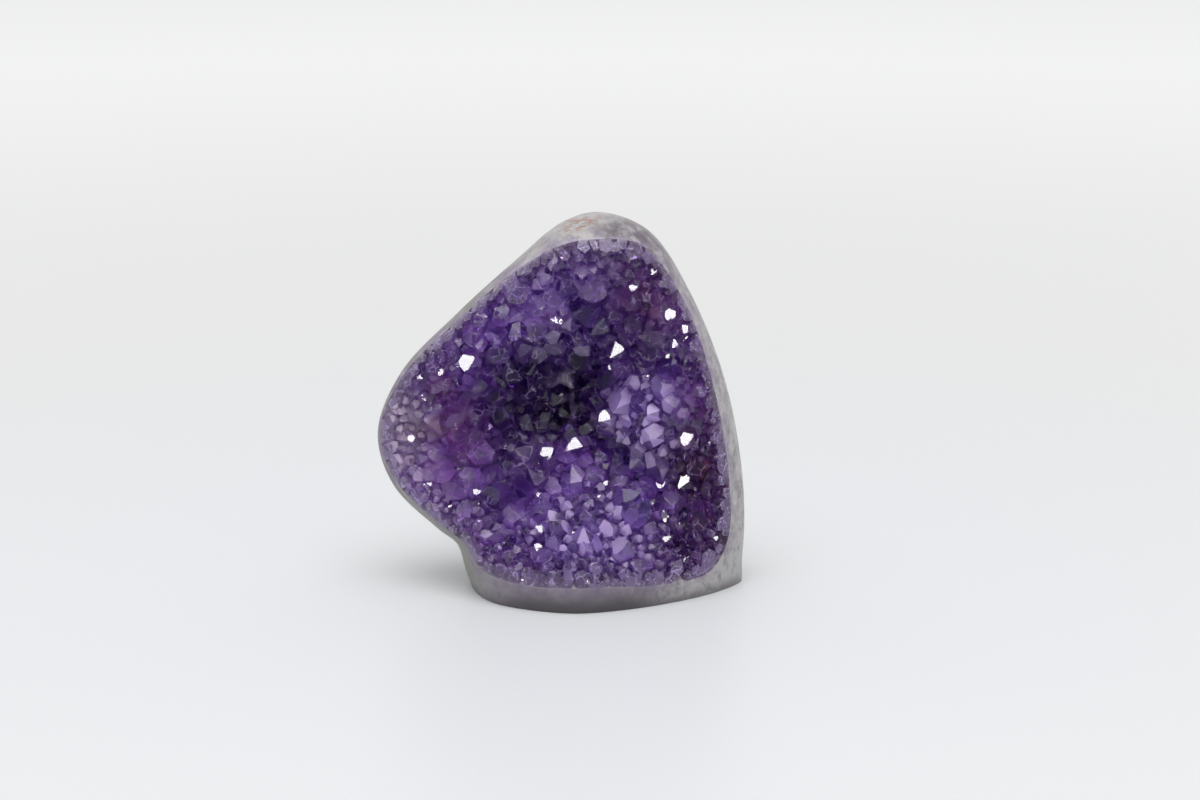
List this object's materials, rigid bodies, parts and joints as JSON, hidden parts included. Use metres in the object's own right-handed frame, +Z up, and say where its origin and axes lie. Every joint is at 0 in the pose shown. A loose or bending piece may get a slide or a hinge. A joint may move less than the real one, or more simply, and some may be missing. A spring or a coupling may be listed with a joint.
{
  "type": "amethyst cluster",
  "caption": "Free-standing cut-base amethyst cluster: a pebble-smooth stone with a flat sawn foot and a hollow front lined with violet quartz points.",
  "frame": {"origin": "middle of the bounding box in X and Y, on the sawn foot", "axes": "+Z up, square to the foot; the crystal-lined hollow faces -Y; +X to the viewer's right when looking at the crystals"},
  "size_m": [0.1008, 0.0578, 0.1032],
  "materials": {
    "matrix_stone": "grey-white chalcedony, ground smooth on the rim and sides, rough and darker on the back",
    "amethyst_crystal": "see-through violet quartz with mirror-bright natural faces"
  },
  "bodies": {
    "root": {"stone_matrix": "matrix_stone", "amethyst_druse": "amethyst_crystal"}
  },
  "joints": []
}
